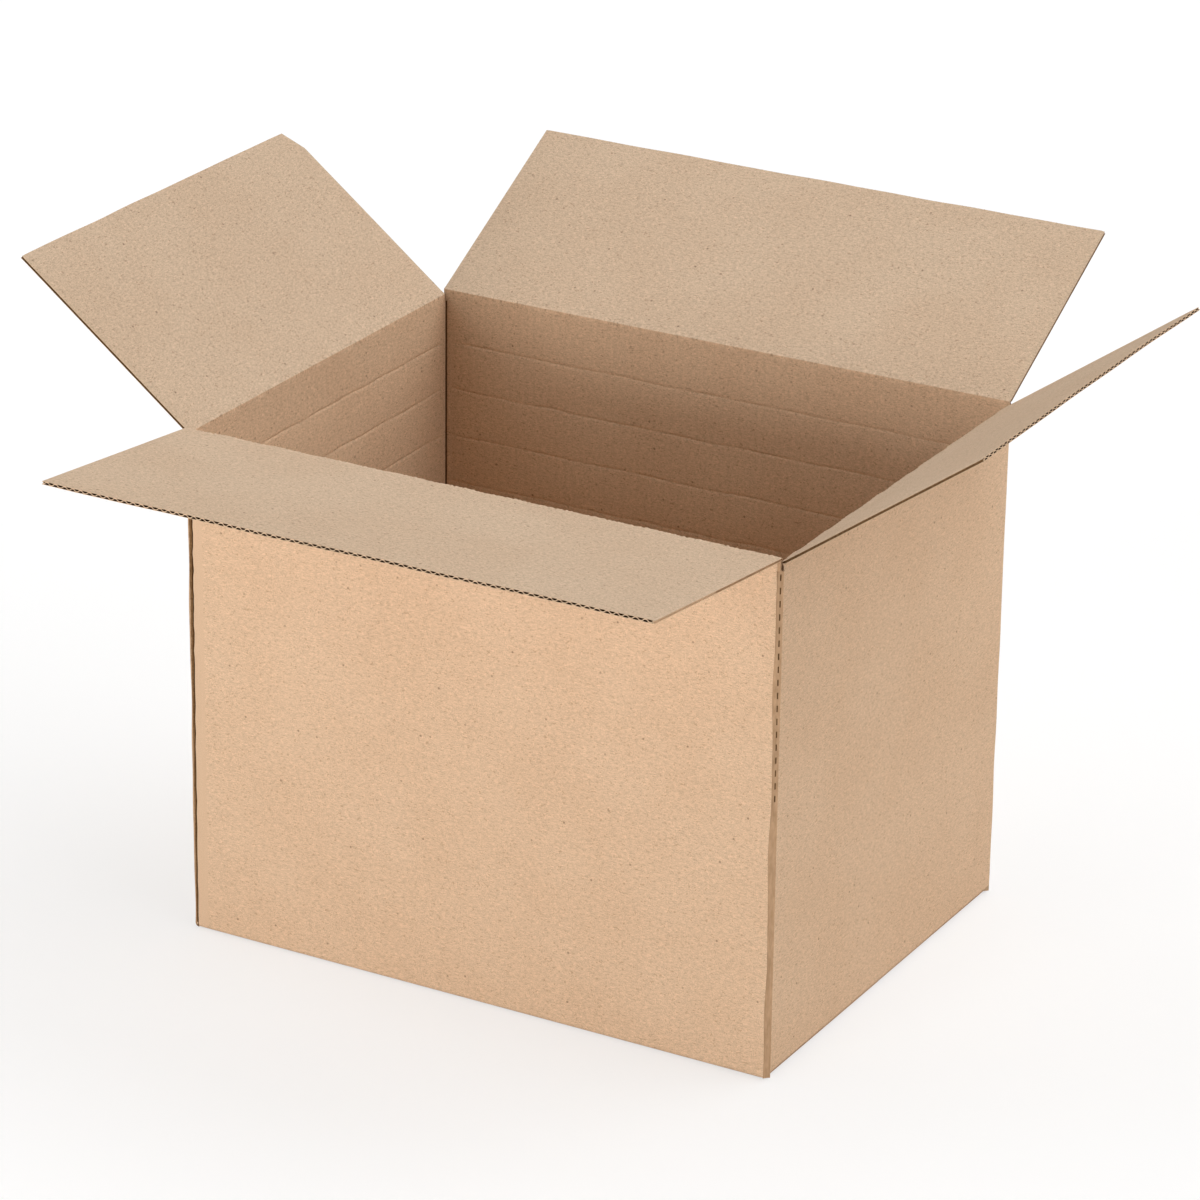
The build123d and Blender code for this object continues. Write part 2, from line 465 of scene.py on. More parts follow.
def kraft(name, pale, deep, fleck, offset, painted_rib_shade=0.0, grain=1.0):
    """Uncoated kraft liner: clouds, mottling, fibres across the flutes, painted shade in stripes along the
    flutes, flecks, pale worn folds and painted highlights on corner ridges.
    """
    material, tree, shader, blank = new_material(name)
    layers = {layer: noise(tree, blank, offset=offset, **values) for layer, values in KRAFT_LAYERS.items()}
    tone = blend_colour(tree, span(tree, layers["clouds"], *CLOUD_BAND, 0.0, 1.0, True), deep, pale)
    mottling = MOTTLE_SWING * grain
    level = span(tree, layers["mottle"], *MIDDLE_BAND, 1 - mottling, 1 + mottling)
    for layer in ("fibres", "grains"):
        swing = span(tree, layers[layer], *MIDDLE_BAND, -FIBRE_SWING * grain, FIBRE_SWING * grain)
        level = combine(tree, "ADD", level, swing)
    # Painted shade in stripes at the flute pitch, as light falls across the ribs of the liner
    if painted_rib_shade:
        wave = tree.nodes.new("ShaderNodeTexWave")
        wave.wave_type = "BANDS"
        wave.bands_direction = "X"
        wave.inputs["Scale"].default_value = 2 * math.pi / (PITCH * MM) / BAND_RADIANS
        wave.inputs["Distortion"].default_value = BAND_DISTORTION
        wave.inputs["Detail"].default_value = BAND_DETAIL
        tree.links.new(blank, wave.inputs["Vector"])
        level = combine(tree, "ADD", level, span(tree, wave.outputs["Fac"], 0.0, 1.0, -painted_rib_shade, painted_rib_shade))
    tone = scaled(tree, tone, level)

    # Dark specks, light hairs and sparse bits of bark
    light = tuple(min(1.0, c * LIGHT_FIBRE) for c in pale)
    tone = blend_colour(tree, span(tree, layers["specks"], *SPECK_BAND, True), tone, fleck)
    tone = blend_colour(tree, span(tree, layers["hairs"], *HAIR_BAND, True), tone, light)
    shives = tree.nodes.new("ShaderNodeTexVoronoi")
    shives.voronoi_dimensions = "2D"
    shives.inputs["Scale"].default_value = SHIVE_SCALE
    tree.links.new(blank, shives.inputs["Vector"])
    chosen = span(tree, shives.outputs["Color"], *SHIVE_CHOICE)
    spot = span(tree, shives.outputs["Distance"], *SHIVE_SPOT, True)
    bark = tuple(c * SHIVE_SHADE for c in fleck)
    tone = blend_colour(tree, combine(tree, "MULTIPLY", spot, chosen), tone, bark)

    # Fibres rubbed pale on worn folds, and paled on the ridges inside the corners as a painted highlight
    wear_and_highlight = tree.nodes.new("ShaderNodeAttribute")
    wear_and_highlight.attribute_name = "wear_and_highlight"
    pale_share = combine(tree, "MULTIPLY", wear_and_highlight.outputs["Fac"], span(tree, layers["fibres"], *PALE_FIBRE_BAND))
    tone = blend_colour(tree, pale_share, tone, light)
    tree.links.new(tone, shader.inputs["Base Color"])
    tree.links.new(span(tree, layers["mottle"], *KRAFT_ROUGHNESS), shader.inputs["Roughness"])
    shader.inputs["Specular IOR Level"].default_value = KRAFT_SHEEN
    roughen(tree, shader, combine(tree, "ADD", layers["fibres"], layers["mottle"]), *KRAFT_RELIEF)
    return material


# Cut and crushed paper
RAW_FIBRES = {"detail": 3.0, "roughness": 0.6}
RAW_CLOUDS = {"scale": 40.0, "detail": 2.0}
RAW_BAND = (0.3, 0.7)
RAW_SWING = (0.93, 1.07)
RAW_ROUGHNESS = (0.88, 0.97)
RAW_SHEEN = 0.15
RAW_RELIEF = (0.5, 0.0001)


def raw_paper(name, pale, deep, scale, stretch=(1.0, 1.0, 1.0), sheen=RAW_SHEEN):
    """Cut, crushed or hidden paper, and paper painted with shade: rough and fibrous."""
    material, tree, shader, blank = new_material(name)
    fibres = noise(tree, blank, scale, stretch=stretch, **RAW_FIBRES)
    clouds = noise(tree, blank, **RAW_CLOUDS)
    tone = blend_colour(tree, span(tree, fibres, *RAW_BAND, 0.0, 1.0), deep, pale)
    tone = scaled(tree, tone, span(tree, clouds, *RAW_BAND, *RAW_SWING))
    tree.links.new(tone, shader.inputs["Base Color"])
    tree.links.new(span(tree, fibres, *RAW_BAND, *RAW_ROUGHNESS), shader.inputs["Roughness"])
    shader.inputs["Specular IOR Level"].default_value = sheen
    roughen(tree, shader, fibres, *RAW_RELIEF)
    return material


# In the order of the material slots: pale and deep tone of each paper, and the liners' flecks
OUTSIDE_FLECK = (0.42, 0.26, 0.15)
INSIDE_FLECK = (0.33, 0.21, 0.13)
OUTSIDE_OFFSET = (0.0, 0.0, 0.0)
INSIDE_OFFSET = (3.1, 1.7, 0.4)
FINE_FIBRES = 700.0
LONG_FIBRES = 400.0
CRUSHED_FIBRES = 520.0
CRUSHED_STRETCH = (1.0, 0.3, 1.0)
BOARD_MATERIALS = [
    kraft("kraft_outside", (0.651, 0.451, 0.296), (0.634, 0.432, 0.279), OUTSIDE_FLECK, OUTSIDE_OFFSET,
          grain=1.3),
    kraft("kraft_inside", (0.578, 0.430, 0.302), (0.560, 0.409, 0.283), INSIDE_FLECK, INSIDE_OFFSET,
          painted_rib_shade=0.008, grain=1.35),
    raw_paper("cut_edge", (0.630, 0.440, 0.285), (0.520, 0.355, 0.220), FINE_FIBRES),
    raw_paper("flute_medium", (0.660, 0.465, 0.305), (0.560, 0.385, 0.245), LONG_FIBRES),
    # Crushed paper, darker partly from the crushing and partly from painted shade
    raw_paper("kraft_crushed_and_painted_shade", (0.520, 0.330, 0.195), (0.390, 0.240, 0.132), CRUSHED_FIBRES,
              stretch=CRUSHED_STRETCH),
    # Painted shade, for the slits, the inside crevices, the shaded grooves of side edges and spots along
    # the crease
    raw_paper("painted_shade_paper", (0.210, 0.115, 0.052), (0.115, 0.058, 0.024), FINE_FIBRES, sheen=0.0),
    # Painted deep shade, inside the flute tunnels and along the line at the front left corner
    raw_paper("flute_shade", (0.060, 0.026, 0.010), (0.035, 0.014, 0.005), LONG_FIBRES, sheen=0.0),
    # The inside liner again, made warmer inside the walls, bottom flaps and tab: painted warm bounce light
    # from inside the box
    kraft("kraft_inside_wall_painted_bounce", (0.628, 0.440, 0.289), (0.609, 0.418, 0.271), INSIDE_FLECK, INSIDE_OFFSET,
          painted_rib_shade=0.014, grain=1.35),
]


# Board folded about a line: a strip of the wall, the crushed fold, and the flap with its open flutes


def fold_rows(lean, radius, wall_drop, flap_length):
    """Middle line of the folded section: places and normals in (out, up), and the path along the sheet."""
    turn, side = math.radians(abs(lean)), math.copysign(1.0, lean)
    tangent = radius * math.tan(turn / 2)
    drops = [wall_drop] + [d for d in WALL_ROWS if tangent + ROW_GAP < d < wall_drop - ROW_GAP]
    reaches = [r for r in FLAP_ROWS if r > tangent + ROW_GAP] + [flap_length - d for d in FREE_ROWS]
    places, normals, path = [], [], []
    for d in drops:
        places.append((0.0, -d))
        normals.append((1.0, 0.0))
        path.append(-d)
    for share in np.linspace(0.0, 1.0, TURN_ROWS):
        angle = turn * share
        places.append((side * radius * (1 - math.cos(angle)), radius * math.sin(angle) - tangent))
        normals.append((math.cos(angle), -side * math.sin(angle)))
        path.append(tangent * (2 * share - 1))
    for r in reaches:
        places.append((side * r * math.sin(turn), r * math.cos(turn)))
        normals.append((math.cos(turn), -side * math.sin(turn)))
        path.append(r)
    return np.array(places), np.array(normals), np.array(path)


def crisp_corner(places, normals, lean, depth, radius):
    """Moves the rows of the turn, so that the face at this depth bends about a small radius of its own."""
    turn = math.radians(lean)
    centre = (depth + radius) / (1 + math.cos(turn)) * np.array((1 + math.cos(turn), -math.sin(turn)))
    angle = np.arctan2(-normals[:, 1], normals[:, 0])
    turning = (angle > -TINY) & (angle < turn + TINY)
    start = np.flatnonzero(np.abs(angle) < TINY)[-1]
    end = np.flatnonzero(np.abs(angle - turn) < TINY)[0]
    turning[:start] = False
    turning[end + 1:] = False
    moved = places.copy()
    moved[turning] = centre - (radius + depth) * normals[turning]
    return moved


def fold_sheet(
    name, pivot, out, up, lean, half_span, wall_drop, flap_length,
    blank_mid, seed, radius, bow, samples, edges,
):
    """One flap as a closed mesh. bow is how far its middle stands out of flat, outward positive."""
    pivot, out, up = np.array(pivot, float), np.array(out, float), np.array(up, float)
    along = np.cross(up, out)
    painted_shade_share, painted_shade_kind, free_press, corner_cut = edges
    places, normals, path = fold_rows(lean, radius, wall_drop, flap_length)
    upward = up[2] > 0

    # Columns follow the flutes, a little unevenly
    inner_half = half_span - GROOVE
    count = int(round(2 * inner_half / (PITCH / samples)))
    phase = 2 * np.pi * (np.arange(count + 1) + 0.5) / samples
    middle = np.linspace(-inner_half, inner_half, count + 1)
    window = ease((inner_half - np.abs(middle)) / COLUMN_CALM)
    middle = middle + waves(middle, seed, COLUMN_WAVES) * window
    a = np.concatenate([[-half_span], middle, [half_span]])
    tip = np.concatenate([[0.0], 0.5 + 0.5 * np.cos(phase), [0.0]])
    hold = np.concatenate([[0.0], window, [0.0]])

    # Crushed fold, and edges pressed thin
    wall_side = min(wall_drop - CRUSH_MARGIN, CRUSH_REACH)
    near = np.where(path < 0, -path / wall_side, path / CRUSH_REACH)
    crush = np.where(near < 1, (1 - near ** 2) ** 2, 0.0)
    free = ease((path - RIB_START) / RIB_EASE)
    side_pinch = 1 - ease((half_span - np.abs(a)) / SIDE_PINCH_REACH)
    free_pinch = free_press * ease(1 - (flap_length - path) / FREE_PINCH_REACH)
    pinch = np.maximum(free_pinch[:, None], side_pinch[None, :])
    pinch = pinch * (1 - CRUSH_HOLD_SHARE * crush[:, None])
    board = free[:, None] * hold[None, :]
    crease = CREASE_DEPTH * np.exp(-((path / CREASE_HALF) ** 2)) if lean > 0 else np.zeros_like(path)
    outer_depth = OUTER_DEPTH - (CRUSH_OUTER * crush + crease)[:, None] - PINCH_OUTER * pinch
    crush_inner = CRUSH_INNER if lean > 0 else BOTTOM_CRUSH_INNER
    inner_depth = crush_inner * crush[:, None] - INNER_DEPTH + PINCH_INNER * pinch
    outer_depth = outer_depth - RIB / 2 * (1 - tip)[None, :] * board
    inner_depth = inner_depth + RIB * tip[None, :] * board

    def shift(a, path, crush):
        """How far the board stands out of its middle line."""
        wobble = waves(a, seed + 1, LIP_WAVES) * ease((half_span - np.abs(a)) / LIP_CALM)
        reach = np.clip(path, 0.0, None) / flap_length
        belly = bow * reach ** BOW_POWER * (1 - BOW_SIDE_SHARE * (a / half_span) ** 2)
        cockle = COCKLE * math.copysign(1.0, bow or 1.0) * (1 + ripple(a, seed + 3, COCKLE_WAVE))
        return wobble * crush + belly + cockle * ease((path - COCKLE_START) / COCKLE_EASE)

    def lay(a, place, normal, depth, move):
        """Points from the way along the fold, the section's places and normals, and depths in the board."""
        high = depth + move
        x = place[..., 0] + normal[..., 0] * high
        z = place[..., 1] + normal[..., 1] * high
        return pivot + a[..., None] * along + x[..., None] * out + z[..., None] * up

    def blank_of(a, path, depth):
        """Place in the flat sheet."""
        u = blank_mid[0] + (a if upward else -a)
        v = blank_mid[1] + (path if upward else -path)
        return np.stack(np.broadcast_arrays(u, v, depth), -1)

    rows, cols = len(path), len(a)
    cut = corner_cut * np.clip(1 - (flap_length - path) / CORNER_CUT_LENGTH, 0.0, 1.0)
    A = a + cut[:, None] * ease(1 - (a + half_span) / CORNER_CUT_REACH)
    P = np.broadcast_to(path[:, None], (rows, cols)).copy()
    rough = waves(a, seed + 4, ROUGH_WAVES)
    rough[:2] = rough[-2:] = 0.0
    P[-1] += rough
    place = np.broadcast_to(places[:, None, :], (rows, cols, 2)).copy()
    direction = places[-1] / flap_length
    place[-1] += rough[:, None] * direction
    crisp = crisp_corner(places, normals, lean, -INNER_DEPTH, INNER_RADIUS) if lean > 0 else places
    inner_place = place + (crisp - places)[:, None, :]
    normal = np.broadcast_to(normals[:, None, :], (rows, cols, 2))
    C = np.broadcast_to(crush[:, None], (rows, cols))
    move, calm_move = shift(A, P, C), shift(A, P, 0.0 * C)
    mid = lay(A, place, normal, np.zeros_like(A), np.zeros_like(A))
    ridge = np.clip(1 - np.abs(path) / WEAR_REACH, 0.0, 1.0)[:, None]
    ridge = ridge * (WEAR_MEAN + waves(a, seed + 6, WEAR_WAVES))
    wear_and_highlight = np.clip(ridge, 0.0, 1.0) if lean > 0 else np.zeros((rows, cols))

    maker = Mesher()
    row_at, col_at = (path[:-1] + path[1:])[:, None] / 2, (a[:-1] + a[1:])[None, :] / 2
    # Painted shade along the outer crease: spots of the darkest painted shade, and crushed paper partly
    # darkened with painted shade between them
    crease_shade_spots = waves(col_at, seed + 8, CREASE_SHADE_WAVES) > CREASE_SHADE_LIMIT
    crease_kinds = np.where(crease_shade_spots, PAINTED_SHADE, STRIP)
    outer_kinds = np.where(np.abs(row_at) < CREASE_HALF / 2, crease_kinds, OUTER)
    outer_kinds = np.where((row_at < 0) & (np.abs(col_at) > HALF_LENGTH - CORNER_FLAT), STRIP, outer_kinds)
    inner_kinds = np.where((row_at < 0) | (lean < 0), WALL_INNER, INNER)
    maker.grid(lay(A, place, normal, outer_depth, calm_move), blank_of(A, P, outer_depth),
               outer_kinds if lean > 0 else OUTER, mid=mid)
    maker.grid(lay(A, inner_place, normal, inner_depth, move), blank_of(A, P, inner_depth), inner_kinds,
               flip=True, mid=mid, wear_and_highlight=wear_and_highlight)

    # Side edges: two liners with a groove between them, the groove painted with shade over its share from
    # the fold on, and flute paper beyond
    halfway = (path[:-1] + path[1:]) / 2
    groove_kind = np.where(halfway < painted_shade_share * flap_length, painted_shade_kind, FLUTE)
    liner_kind = np.full_like(groove_kind, EDGE)
    edge_kinds = np.stack([liner_kind] + [groove_kind] * 3 + [liner_kind], -1)
    for end, inset, flip in ((-1, -2, False), (0, 1, True)):
        pick = (slice(None), [end, end, inset, inset, end, end])
        depths = np.stack([
            outer_depth[:, end], outer_depth[:, end] - LINER, outer_depth[:, inset] - LINER,
            inner_depth[:, inset] + LINER, inner_depth[:, end] + LINER, inner_depth[:, end],
        ], -1)
        edge_place = np.concatenate([place[pick][:, :3], inner_place[pick][:, 3:]], 1)
        points = lay(A[pick], edge_place, normal[pick], depths, move[pick])
        maker.grid(points, blank_of(A[pick], P[pick], depths), edge_kinds, flip=flip, mid=mid[pick])

    def strip(row, tops, lows, kind, flip, pick=slice(None)):
        """A strip of the end at one row, between two depths in the board."""
        depths = np.stack([tops, lows])[:, pick]
        spots = ([row, row], pick)
        points = lay(A[spots], place[spots], normal[spots], depths, move[spots])
        maker.grid(points, blank_of(A[spots], P[spots], depths), kind, flip=flip, mid=mid[spots])

    # End of the wall strip, where it meets the wall
    within = slice(1, -1)
    strip(0, outer_depth[0], outer_depth[0] - LINER, EDGE, True)
    strip(0, outer_depth[0] - LINER, inner_depth[0] + LINER, EDGE, True, pick=within)
    strip(0, inner_depth[0] + LINER, inner_depth[0], EDGE, True)

    # Free edge: liner, wavy medium, liner
    top, low = outer_depth[-1] - LINER, inner_depth[-1] + LINER
    roof, base = top[within], low[within]
    centre, swing = (roof + base) / 2, (roof - base - MEDIUM) / 2
    steep = CREST * np.cos(phase)
    slope = np.where(np.abs(steep) >= 1, 0.0, CREST * swing * np.sin(phase) * 2 * np.pi / PITCH)
    thick = MEDIUM / 2 * np.sqrt(1 + slope ** 2)
    line = centre + swing * np.clip(steep, -1, 1)
    upper = np.where(steep >= 1, roof, np.minimum(line + thick, roof))
    lower = np.where(steep <= -1, base, np.maximum(line - thick, base))
    upper[[0, -1]], lower[[0, -1]] = roof[[0, -1]], base[[0, -1]]
    strip(-1, outer_depth[-1], top, EDGE, False)
    strip(-1, np.pad(upper, 1), np.pad(lower, 1), FLUTE, False, pick=within)
    strip(-1, low, inner_depth[-1], EDGE, False)

    # Tunnels behind the free edge, their faces painted with deep shade
    deep_path = P[-1, within] - TUNNEL
    deep_place = direction * deep_path[:, None]
    edge_a = A[-1, within]
    deep_move = shift(edge_a, deep_path, 0.0 * deep_path)
    deep_normal = normal[-1, within]
    two_mid = np.stack([mid[-1, within]] * 2)
    for ceiling, floor in ((roof, upper), (lower, base)):
        open_here = ceiling - floor > TINY
        keep = (open_here[:-1] | open_here[1:])[None, :]
        faces = []
        for depth in (ceiling, floor):
            near_points = lay(edge_a, place[-1, within], deep_normal, depth, move[-1, within])
            far_points = lay(edge_a, deep_place, deep_normal, depth, deep_move)
            near_blank = blank_of(edge_a, P[-1, within], depth)
            far_blank = blank_of(edge_a, deep_path, depth)
            faces.append((np.stack([near_points, far_points]), np.stack([near_blank, far_blank])))
        maker.grid(*faces[0], PAINTED_DEEP_SHADE, keep=keep, mid=two_mid)
        maker.grid(*faces[1], PAINTED_DEEP_SHADE, flip=True, keep=keep, mid=two_mid)
        back = [np.stack([faces[0][i][1], faces[1][i][1]]) for i in (0, 1)]
        maker.grid(*back, PAINTED_DEEP_SHADE, keep=keep, mid=two_mid)
    return maker.build(name, BOARD_MATERIALS), maker


def hinge_sheet(side, pivot, out, half_span):
    """A top flap, with a strip of its wall below the fold."""
    lean = LEANS[side]
    piece, maker = fold_sheet(
        f"{side}_flap_board", pivot, out, (0, 0, 1), lean, half_span, pivot[2] - SLOT_BOTTOM, FLAP_LENGTH,
        (SHEET_MIDDLE[side], pivot[2]), FLAP_SEEDS[side], FOLD_RADIUS, FLAP_BOWS[side],
        SAMPLES, EDGES[side],
    )
    # The points are moved to the middle line of the board while its transform is baked in, and then put
    # back
    shape = np.empty(len(piece.data.vertices) * 3, np.float32)
    piece.data.vertices.foreach_get("co", shape)
    piece.data.vertices.foreach_set("co", maker.mid.astype(np.float32).ravel())
    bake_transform(piece)
    piece.data.vertices.foreach_set("co", shape)
    piece.data.update()
    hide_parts(f"flap_{side}")


# Place of each wall in the flat sheet: the middle of the wall along it, from the front left corner
SHEET_MIDDLE = {"front": 200.0, "right": 550.0, "back": 900.0, "left": 1250.0}
FOLD_Y = HALF_WIDTH - OUTER_DEPTH
FOLD_X = HALF_LENGTH - OUTER_DEPTH

hinge_sheet("front", (0, -FOLD_Y, LONG_FOLD), (0, -1, 0), LONG_SPAN)
hinge_sheet("right", (FOLD_X, 0, SHORT_FOLD), (1, 0, 0), SHORT_SPAN)
hinge_sheet("back", (0, FOLD_Y, LONG_FOLD), (0, 1, 0), LONG_SPAN)
hinge_sheet("left", (-FOLD_X, 0, SHORT_FOLD), (-1, 0, 0), SHORT_SPAN)


def body_piece(piece):
    """Fixes a piece to the box's body, in the place of its solid."""
    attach(piece, "body")
    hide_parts("carton_body")


def bottom_sheet(side, pivot, out, half_span, wall_low, flap_length):
    """A bottom flap, folded in and glued."""
    piece, _ = fold_sheet(
        f"bottom_{side}_board", pivot, out, (0, 0, -1), -90.0, half_span, wall_low - pivot[2], flap_length,
        (SHEET_MIDDLE[side], pivot[2]), BOTTOM_SEEDS[side], BOTTOM_RADIUS, 0.0,
        BOTTOM_SAMPLES, BOTTOM_EDGES,
    )
    body_piece(piece)


BOTTOM_LENGTH = FOLD_Y - BOTTOM_SEAM / 2
SHORT_BASE = BOARD + OUTER_DEPTH + GLUE_GAP
bottom_sheet("front", (0, -FOLD_Y, OUTER_DEPTH), (0, -1, 0), BOTTOM_LONG_SPAN, LONG_LOW, BOTTOM_LENGTH)
bottom_sheet("back", (0, FOLD_Y, OUTER_DEPTH), (0, 1, 0), BOTTOM_LONG_SPAN, LONG_LOW, BOTTOM_LENGTH)
bottom_sheet("left", (-FOLD_X, 0, SHORT_BASE), (-1, 0, 0), BOTTOM_SHORT_SPAN, SHORT_LOW, FLAP_LENGTH)
bottom_sheet("right", (FOLD_X, 0, SHORT_BASE), (1, 0, 0), BOTTOM_SHORT_SPAN, SHORT_LOW, FLAP_LENGTH)


# Four walls in one ring


FIRST_SLIT = SLOT_BOTTOM - SLIT_PITCH * SLIT_COUNT + (SLIT_PITCH - SLIT_LENGTH) / 2
SLIT_FEET = [FIRST_SLIT + SLIT_PITCH * i for i in range(SLIT_COUNT)]
SLITS = [(foot, foot + SLIT_LENGTH) for foot in SLIT_FEET]


def slit_depth(z, seed):
    """Depth of the slits down a corner, each cut a little differently."""
    depth = np.zeros_like(z)
    for low, high in SLITS:
        cut = SLIT_MEAN + float(waves(low, seed, SLIT_WAVES))
        depth = depth + SLIT_DEPTH * cut * np.clip(np.minimum(z - low, high - z) / SLIT_END, 0.0, 1.0)
    return depth


def score_depth(z, a, seed):
    """Depth of the score lines, pressed unevenly, with a low lip beside each."""
    depth = np.zeros_like(z)
    for i, level in enumerate(SCORE_LEVELS):
        own = seed + SCORE_SEED_STEP * i
        gap = np.abs(z - level - waves(a, own, SCORE_WANDER))
        press = np.clip(SCORE_MEAN + waves(a, own + 2, SCORE_WAVES), *SCORE_LIMITS)
        groove = SCORE_DEPTH * np.exp(-((gap / SCORE_HALF) ** 2))
        lip = SCORE_LIP * np.exp(-(((gap - 2 * SCORE_HALF) / SCORE_LIP_HALF) ** 2))
        depth = depth + press * (groove - lip)
    return depth


def panel_bulge(z):
    """How far the panels between the score lines stand in."""
    turn = (SHORT_FOLD - z) / SCORE_PITCH
    share = turn - np.floor(turn)
    return np.where(turn < len(SCORE_LEVELS), 4 * PANEL_BULGE * share * (1 - share), 0.0)


def wall_rows(low, inside):
    """Heights of the points on one face of a wall."""
    even = list(np.arange(*EVEN_ROWS, INNER_ROW_STEP if inside else OUTER_ROW_STEP))
    if inside:
        even = [z for z in even if all(abs(z - level) > SCORE_ROW_ROOM for level in SCORE_LEVELS)]
        beside = [0.0] + [side * d for d in SCORE_ROWS for side in (-1, 1)]
        even += [level + d for level in SCORE_LEVELS for d in beside]
    ends = [low, low + FOOT_ROW, SLOT_BOTTOM - HEAD_ROW, SLOT_BOTTOM]
    return [round(z, 4) for z in sorted(even + ends)]


def make_walls():
    """The four walls and their corners as one closed mesh."""
    maker = Mesher()
    sides = [
        ("front", (0, -1), (1, 0), HALF_LENGTH, HALF_WIDTH, LONG_LOW),
        ("right", (1, 0), (0, 1), HALF_WIDTH, HALF_LENGTH, SHORT_LOW),
        ("back", (0, 1), (-1, 0), HALF_LENGTH, HALF_WIDTH, LONG_LOW),
        ("left", (-1, 0), (0, -1), HALF_WIDTH, HALF_LENGTH, SHORT_LOW),
    ]
    slit_rows = [z for low, high in SLITS for z in (low, low + SLIT_END, high - SLIT_END, high)]
    shared = [CORNER_LOW, CORNER_LOW + CORNER_FOOT_ROW]
    rows_out = wall_rows(LONG_LOW, False) + wall_rows(SHORT_LOW, False) + slit_rows + shared
    rows_in = wall_rows(LONG_LOW, True) + wall_rows(SHORT_LOW, True) + shared
    rows_out, rows_in = (np.array(sorted({round(z, 4) for z in rows})) for rows in (rows_out, rows_in))
    between = (rows_out[:-1] + rows_out[1:]) / 2
    cut_rows = np.array([any(low < z < high for low, high in SLITS) for z in between])

    # Points of each corner: the crushed strip outside with its slits, and the crevice inside
    slit_half = SLIT_WIDTH / 2 / (CORNER_FLAT * math.sqrt(2))
    slit_shares = (SLIT_SHARE - slit_half, SLIT_SHARE, SLIT_SHARE + slit_half)
    shares = np.array([*STRIP_SHARES, *slit_shares, *STRIP_END_SHARES])
    slit_column = len(STRIP_SHARES) + 1
    hollow = np.array(STRIP_HOLLOWS)
    corners = []
    for k, (name, out, along, half, depth, low) in enumerate(sides):
        out, along = np.array(out, float), np.array(along, float)
        seed = CORNER_SEEDS[k]
        start = out * depth + along * (half - CORNER_FLAT)
        end = out * (depth - CORNER_FLAT) + along * half
        inward = -(out + along) / math.sqrt(2)
        sheet = SHEET_MIDDLE[name] + half

        channel = np.clip(CHANNEL_MEAN + waves(rows_out, seed, CHANNEL_WAVES), *CHANNEL_LIMITS)
        calm = ease((SLOT_BOTTOM - rows_out) / STRIP_CALM)
        waver = waves(rows_out, seed + 1, STRIP_WAVES) * calm
        sunk = hollow[None, :] * channel[:, None]
        sunk[:, slit_column] += slit_depth(rows_out, seed + 2)
        flat = start + shares[:, None] * (end - start) + sunk[..., None] * inward
        flat[:, 0] += waver[:, None] * along
        flat[:, 1] += waver[:, None] * along
        # At the front left corner the strip is wider, and a line of painted shade runs down its edge
        if name == "left":
            spread = SPREAD_LOW + (SPREAD_HIGH - SPREAD_LOW) * rows_out / SLOT_BOTTOM
            spread = spread + waves(rows_out, seed + 4, SPREAD_WAVES) * calm
            flat[:, -1] -= spread[:, None] * out
            flat[:, -2] -= SPREAD_SHARE * spread[:, None] * out
        high = np.broadcast_to(rows_out[:, None, None], (*sunk.shape, 1))
        blank = np.stack(np.broadcast_arrays(
            sheet + (shares - 0.5) * 2 * CORNER_FLAT, rows_out[:, None], OUTER_DEPTH - sunk), -1)
        outside = maker.spots(np.concatenate([flat, high], -1), blank)
        # The strip's crushed paper is darkened partly with painted shade, and the slits are shallow pockets
        # painted with shade as if cut through
        kinds = np.full((len(rows_out) - 1, len(shares) - 1), STRIP)
        kinds[cut_rows, slit_column - 1:slit_column + 1] = PAINTED_SHADE
        if name == "left":
            kinds[:, -2:] = PAINTED_SHADE, PAINTED_DEEP_SHADE
        maker.cells(outside, kinds)

        rise = np.clip(RIDGE_MEAN + waves(rows_in, seed + 3, RIDGE_WAVES), *RIDGE_LIMITS)
        rise = RIDGE_HEIGHT * rise[:, None]
        corner = out * (depth - BOARD) + along * (half - BOARD)
        level = np.ones_like(rise)
        ring = [
            level * (corner - along * RIDGE_FOOT),
            corner - along * RIDGE_SIDE - rise * out,
            level * (corner - along * CREVICE_SIDE),
            level * (corner + (out + along) * CREVICE),
            level * (corner - out * CREVICE_SIDE),
            corner - out * RIDGE_SIDE - rise * along,
            level * (corner - out * RIDGE_FOOT),
        ]
        away = np.array([
            -RIDGE_FOOT, -RIDGE_SIDE, -CREVICE_SIDE, 0.0, CREVICE_SIDE, RIDGE_SIDE, RIDGE_FOOT,
        ])
        high = np.broadcast_to(rows_in[:, None, None], (len(rows_in), len(ring), 1))
        blank = np.stack(np.broadcast_arrays(sheet + away, rows_in[:, None], -INNER_DEPTH), -1)
        # The ridges are paled as a painted highlight
        pale_share = RIDGE_HIGHLIGHT * np.isclose(np.abs(away), RIDGE_SIDE)
        inside = maker.spots(np.concatenate([np.stack(ring, 1), high], -1), blank, wear_and_highlight=pale_share)
        # The crevice between the two walls is painted with shade
        ring_kinds = np.array([WALL_INNER, WALL_INNER, PAINTED_SHADE, PAINTED_SHADE, WALL_INNER, WALL_INNER])
        maker.cells(inside, ring_kinds, flip=True)

        # Ends of the corner, and its feet beside the walls, which start higher
        for row, flip in ((-1, False), (0, True)):
            maker.polygon(list(outside[row]) + list(inside[row, ::-1]), EDGE, flip=flip)
        for column, foot, flip in ((0, low, False), (-1, sides[(k + 1) % 4][5], True)):
            feet_out = outside[rows_out <= foot + ROW_MATCH, column]
            feet_in = inside[rows_in <= foot + ROW_MATCH, column]
            maker.polygon(list(feet_out) + list(feet_in[::-1]), EDGE, flip=flip)
        corners.append((outside, inside))

